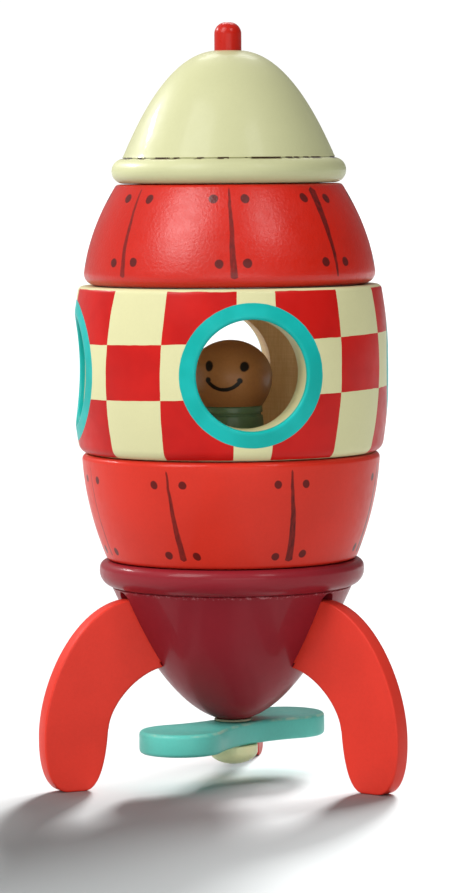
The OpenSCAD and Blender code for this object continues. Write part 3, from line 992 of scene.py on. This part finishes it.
def drumPaint():
    black, white = (0, 0, 0, 1), (1, 1, 1, 1)
    columns = [(0, black)] + [(a / 180, (white, black)[i % 2]) for i, a in enumerate(drum["columns"])]
    lowRow, highRow = [(z - drumLow) / (drumHigh - drumLow) for z in drum["rows"]]
    rows = [(0, black), (lowRow, white), (highRow, black)]
    foot, head = drumLow + drum["lowBorder"], drumHigh - drum["highBorder"]

    def pattern(spot, colour):
        hand = handPainted(spot, 0.3, 0.12)
        above = hand["z"] - portholeLevel
        share = above / ((drumHigh - drumLow) / 2)
        spread = 1 - (1 - share * share) * drum["columnSpread"]
        leaning = hand["azimuth"] - (above * drum["columnLean"] + drum["columnShift"])
        column = ramp(abs(leaning * spread) / 180, columns)[0]
        level = hand["z"] - hand["x"] * drum["rowLean"]
        row = ramp(rescale(level, drumLow, drumHigh, 0, 1), rows)[0]
        inside = between(hand["z"], foot, foot + 0.2) * between(hand["z"], head, head - 0.2)
        fade = between(noise(spot["mm"], 0.05, 3), 0.35, 0.65)
        red = mixColour(fade, linear(178, 14, 10), linear(192, 20, 14))
        checked = mixColour(abs(column - row) * inside, colour, red)
        wobble = handPainted(spot, 0.12, 0.3)
        rings = []
        for azimuth in drum["portholes"]:
            across, towards = seenFrom(wobble, azimuth)
            gap = hypot(across, wobble["z"] - portholeLevel)
            disc = between(gap, drum["ringRadius"] + 0.1, drum["ringRadius"] - 0.1)
            rings.append(disc * calc("GREATER_THAN", towards, 0))
        teal = mixColour(fade, linear(0, 160, 152), linear(16, 174, 168))
        return mixColour(largest(*rings), checked, teal)

    return painted("drumPaint", looks["drumCream"], pattern)


buildDrum()
print("window drum ready")


# astronaut

doll = {
    "facing": -16,
    # blots of paint: how far to the right, level, half width and half height
    "eyes": [(-6.0, 154.8, 1.5, 2.0), (7.0, 154.5, 1.65, 1.84)],
    "smileEnds": [(-6.3, 149.7, 1.05, 1.05), (5.5, 149.4, 1.05, 1.05)],
    # the smile is the lower part of a circle
    "smileShift": -0.4, "smileLevel": 153.3, "smileRadius": 7.2, "smileWidth": 0.7, "smileTop": 149.6,
    "headWide": 0.44,       # level of the head's widest part, as a share of its height
    "neckRadius": 11.6,
    "tenonRadius": 3.87, "tenonHeight": 8.0,
    "pegHoleDepth": 7.4,
    "collarHeight": 3.7,    # from the groove's lower edge to the top
    "footEdge": 1.0,
}
collarLevel = topOf("astronaut_body")
headTop = topOf("astronaut_head")
headRadius = radiusOf("astronaut_head")
neckRadius = doll["neckRadius"]


def facePaint():
    def features(spot, colour):
        hand = handPainted(spot, 0.25, 0.35)
        across, towards = seenFrom(hand, doll["facing"])

        def blot(x, z, width, height, soft):
            size = hypot((across - x) / width, (hand["z"] - z) / height)
            return between(size, 1 + soft, 1 - soft)

        blots = [blot(*eye, 0.18) for eye in doll["eyes"]] + [blot(*end, 0.25) for end in doll["smileEnds"]]
        circle = hypot(across - doll["smileShift"], hand["z"] - doll["smileLevel"])
        gap = abs(circle - doll["smileRadius"])
        line = between(gap, doll["smileWidth"] + 0.15, doll["smileWidth"] - 0.15)
        smile = line * calc("LESS_THAN", hand["z"], doll["smileTop"])
        front = calc("GREATER_THAN", towards, 0)
        return mixColour(largest(smile, *blots) * front, colour, linear(22, 16, 12))

    return painted("dollHeadStain", looks["headBrown"], features)


def buildHead():
    low = collarLevel + glue
    height = headTop - low
    wide = low + height * doll["headWide"]
    under = (wide - low) / math.sqrt(1 - (neckRadius / headRadius) ** 2)
    steps = 14
    outline = [(0, low - doll["tenonHeight"]), (doll["tenonRadius"], low - doll["tenonHeight"]),
               (doll["tenonRadius"], low)]
    for i in range(steps):
        z = low + (wide - low) * i / steps
        outline.append((headRadius * math.sqrt(1 - ((wide - z) / under) ** 2), z))
    for i in range(25):
        angle = math.radians(90 * i / 24)
        outline.append((headRadius * math.cos(angle), wide + (headTop - wide) * math.sin(angle)))
    bm = spinOutline(outline, 128)
    finishPiece(bm, "astronautHead", "astronaut", ["astronaut_head"], [facePaint()])


def buildBody():
    low = bottomOf("astronaut_body")
    height = collarLevel - low
    foot, neck = radiusOf("astronaut_body"), neckRadius
    edge = doll["footEdge"]
    pegHole, pegTop = radiusOf("astronaut_peg") + running, low + doll["pegHoleDepth"]
    tenonHole, tenonFloor = doll["tenonRadius"] + glue, collarLevel - doll["tenonHeight"] - glue
    underside = [(0, pegTop), (pegHole, pegTop), (pegHole, low), (foot - edge - 0.4, low)]
    skirt = bezier((foot, low + edge), (foot - 0.8, low + height * 0.35), (neck + 0.6, low + height * 0.55),
                   (neck + 0.3, collarLevel - doll["collarHeight"]), 18)
    groove = arc((neck + 0.25, collarLevel - 3), 0.7, 270, 90, 6)
    collar = [(neck + 0.25, collarLevel - 2), (neck + 0.1, collarLevel - 0.4), (neck - 0.3, collarLevel)]
    top = [(tenonHole, collarLevel), (tenonHole, tenonFloor), (0, tenonFloor)]
    outline = (underside + arc((foot - edge, low + edge), edge, -90, 0, 4)[:-1] + skirt + groove
               + collar + top)
    bm = spinOutline(outline, 128)
    finishPiece(bm, "astronautBody", "astronaut", ["astronaut_body"],
                [painted("dollBodyPaint", looks["bodyGreen"])])


buildHead()
buildBody()
print("astronaut ready")


# nose

nose = {
    "rimEdge": 4.6,         # how far in the rim's two rounded edges reach
    "rimLowEdge": 4.45, "rimHighEdge": 4.57,
    "domeInset": 4.0,       # how far the dome stands in from the rim
    "handles": (0.852, 0.343, 0.56, 0.967),  # of the dome's curve, as shares of its radius and height
    "domeChamfer": 0.3,
    "tipEdge": 0.86,        # rounding of the tip, as a share of its radius
}
seamLine = (bottomOf("nose_dome") + topOf("nose_rim")) / 2
skippedPaint = linear(70, 48, 22)


def buildNose():
    low, high = bottomOf("nose_rim"), topOf("nose_rim")
    rim = radiusOf("nose_rim")
    tip = radiusOf("nose_tip")
    shape = turnedShape("nose_rim", rim, rim, nose["rimLowEdge"], nose["rimHighEdge"])
    tipFoot = bottomOf("nose_tip")
    lowFace = pocket(radiusOf("nose_magnet") + glue, topOf("nose_magnet") + glue, low)
    bm = spinOutline(turnedBlock(shape, lowFace, pocket(tip + glue, tipFoot - glue, high)), 216)
    flat = rim - nose["rimEdge"]
    faceEnds(bm, lambda z: z < high - 1, 1, flat)
    paint = painted("noseRimPaint", looks["cream"], gapLine(seamLine, skippedPaint, 0.5))
    face = endFace("noseRimFace", beech, looks["cream"], {"radius": flat - 2.0, "uneven": 2.0})
    finishPiece(bm, "noseRim", "nose_section", ["nose_rim"], [paint, face])

    base, peak = bottomOf("nose_dome"), topOf("nose_dome")
    domeRadius = rim - nose["domeInset"]
    height = peak - base
    a, b, c, d = nose["handles"]
    wall = bezier((domeRadius, base), (domeRadius * a, base + height * b),
                  (domeRadius * c, base + height * d), (tip, peak), 44)
    chamfer = nose["domeChamfer"]
    outline = ([(tip + glue, peak - 0.5), (tip + glue, base), (domeRadius - chamfer, base)]
               + [(domeRadius - 0.05, base + chamfer)] + wall[1:] + [(tip + glue, peak - 0.5)])
    bm = spinOutline(outline, 216)
    paint = painted("nosePaint", looks["cream"], gapLine(seamLine, skippedPaint, 0.5))
    finishPiece(bm, "noseDome", "nose_section", ["nose_dome"], [paint])

    top = topOf("nose_tip")
    edge = tip * nose["tipEdge"]
    outline = [(0, tipFoot), (tip, tipFoot)] + arc((tip - edge, top - edge), edge, 0, 90, 14) + [(0, top)]
    bm = spinOutline(outline, 96)
    finishPiece(bm, "noseTip", "nose_section", ["nose_tip"],
                [painted("tipPaint", looks["tip"])])


buildNose()
print("nose ready")


# metal and bare pieces that keep their CAD shape

def steelMaterial():
    material, shader, spot = newMaterial("zincSteel")
    rings = turningLines(spot["radius"], 4.0)
    blotch = noise(spot["mm"], 0.3, 4)
    feed(shader, {
        "Base Color": mixColour(blotch, linear(150, 152, 156), linear(186, 188, 190)),
        "Normal": bump(rings * 0.01),
        "Roughness": rescale(rings, 0.3, 0.7, 0.24, 0.42),
        "Metallic": 1.0,
    })
    return material


def magnetMaterial():
    material, shader, spot = newMaterial("ceramicMagnet")
    grit = noise(spot["mm"], 2.5, 4, 0.7)
    feed(shader, {
        "Base Color": mixColour(grit, linear(42, 42, 45), linear(74, 74, 78)),
        "Normal": bump(grit * 0.04),
        "Roughness": rescale(grit, 0.3, 0.7, 0.45, 0.65),
        "Metallic": 0.3,
    })
    return material


def dress(nodes, material):
    for name in nodes:
        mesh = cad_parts[name].data
        mesh.materials.clear()
        mesh.materials.append(material)


dress(["tail_disc", "lower_keeper_ring", "upper_keeper_ring", "upper_disc"], steelMaterial())
dress(["lower_magnet", "drum_lower_magnets", "drum_upper_magnets", "nose_magnet"], magnetMaterial())
dress(["astronaut_peg"], bareWood("pegWood", beech))
print("small pieces ready")


# floor, lights and camera

view = {"azimuth": -8, "distance": 1.511, "height": 0.232, "pitch": -4.08, "roll": 0.45, "lens": 164.7,
        "aside": 0.014}         # how far the camera looks past the centre line, in degrees


def makeFloor():
    bm = bmesh.new()
    bmesh.ops.create_grid(bm, x_segments=1, y_segments=1, size=30)
    mesh = bpy.data.meshes.new("floor")
    bm.to_mesh(mesh)
    bm.free()
    floor = addObject("floor", mesh)
    material = bpy.data.materials.new("paleFloor")
    material.use_nodes = True
    feed(material.node_tree.nodes["Principled BSDF"],
         {"Base Color": (0.575, 0.6, 0.6, 1), "Roughness": 0.9, "Specular IOR Level": 0.1})
    mesh.materials.append(material)


def fromAzimuth(azimuth, elevation, distance, centre=(0, 0, 0.14)):
    a, e = math.radians(azimuth + view["azimuth"]), math.radians(elevation)
    direction = Vector((math.sin(a) * math.cos(e), -math.cos(a) * math.cos(e), math.sin(e)))
    return Vector(centre) + direction * distance, -direction


def softbox(name, azimuth, elevation, distance, width, height, power, leftOut=(), only=()):
    # a soft light for the object, but not for the floor, which has its own
    light = bpy.data.lights.new(name, "AREA")
    light.shape = "RECTANGLE"
    light.size, light.size_y = width, height
    light.energy = power
    lamp = addObject(name, light)
    lamp.location, aim = fromAzimuth(azimuth, elevation, distance)
    lamp.rotation_euler = aim.to_track_quat("-Z", "Y").to_euler()
    lit = bpy.data.collections.new("linkedTo" + name[0].upper() + name[1:])
    for piece in only or ("floor",) + leftOut:
        lit.objects.link(bpy.data.objects[piece])
    if not only:
        for member in lit.collection_objects:
            member.light_linking.link_state = "EXCLUDE"
    lamp.light_linking.receiver_collection = lit


def floorKey(name, azimuth, elevation, spread, power):
    # only shows on the floor, where it draws the shadow
    sun = bpy.data.lights.new(name, "SUN")
    sun.energy = power
    sun.angle = math.radians(spread)
    lamp = addObject(name, sun)
    aim = fromAzimuth(azimuth, elevation, 1)[1]
    lamp.rotation_euler = aim.to_track_quat("-Z", "Y").to_euler()
    onFloor = bpy.data.collections.new("litBy" + name[0].upper() + name[1:])
    onFloor.objects.link(bpy.data.objects["floor"])
    lamp.light_linking.receiver_collection = onFloor


def makeLights():
    # azimuth, elevation and distance, then width, height and power
    softbox("leftBox", -46, 42, 1.3, 0.62, 0.9, 13.4)
    softbox("rightBox", 36, 44, 1.3, 0.3, 0.5, 3.2)
    softbox("frontFill", 6, 4, 1.4, 1.2, 0.4, 2.8)
    softbox("leftWindow", -121, 31, 1.2, 0.34, 0.11, 4.0, leftOut=("upperHull", "noseDome"))
    softbox("noseWindow", -124, 31, 1.2, 0.26, 0.07, 6, only=("noseDome", "noseRim"))
    softbox("finFill", 24, 3, 1.3, 0.6, 0.3, 2.2, only=("finLeft",))
    softbox("backBox", 180, 50, 1.4, 0.8, 0.4, 6)
    floorKey("floorKeyLow", 168, 21, 10, 5.5)
    floorKey("floorKeyHigh", 154, 36, 34, 3.9)
    world = bpy.data.worlds.new("studio")
    bpy.context.scene.world = world
    world.use_nodes = True
    tree = world.node_tree
    tree.nodes.clear()
    # the studio is lighter on its left, and its backdrop is white
    a = math.radians(view["azimuth"])
    sky = fieldFrom(tree, "TexCoord", "Generated")
    glow = rescale(along(sky, (-math.cos(a), -math.sin(a), 0.3)), -0.9, 0.9, 0.09, 0.5)
    backdrop = fieldFrom(tree, "LightPath", "Is Camera Ray") * 1.05
    background = fieldFrom(tree, "Background", 0, {"Color": (1, 1, 1, 1),
                                                   "Strength": largest(glow, backdrop)})
    put(tree, "OutputWorld", {"Surface": background})


def makeCamera():
    camera = bpy.data.cameras.new("camera")
    camera.lens = view["lens"]
    camera.sensor_width = 36
    camera.sensor_fit = "AUTO"
    camera.clip_end = 100
    thing = addObject("camera", camera)
    a = math.radians(view["azimuth"])
    thing.location = (math.sin(a) * view["distance"], -math.cos(a) * view["distance"], view["height"])
    turns = ((view["azimuth"] + view["aside"], "Z"), (90 + view["pitch"], "X"), (-view["roll"], "Z"))
    look = Matrix.Identity(3)
    for angle, axis in turns:
        look = look @ Matrix.Rotation(math.radians(angle), 3, axis)
    thing.rotation_euler = look.to_euler()
    bpy.context.scene.camera = thing


makeFloor()
makeLights()
makeCamera()
bpy.context.scene.view_settings.view_transform = "Standard"
print("studio ready")
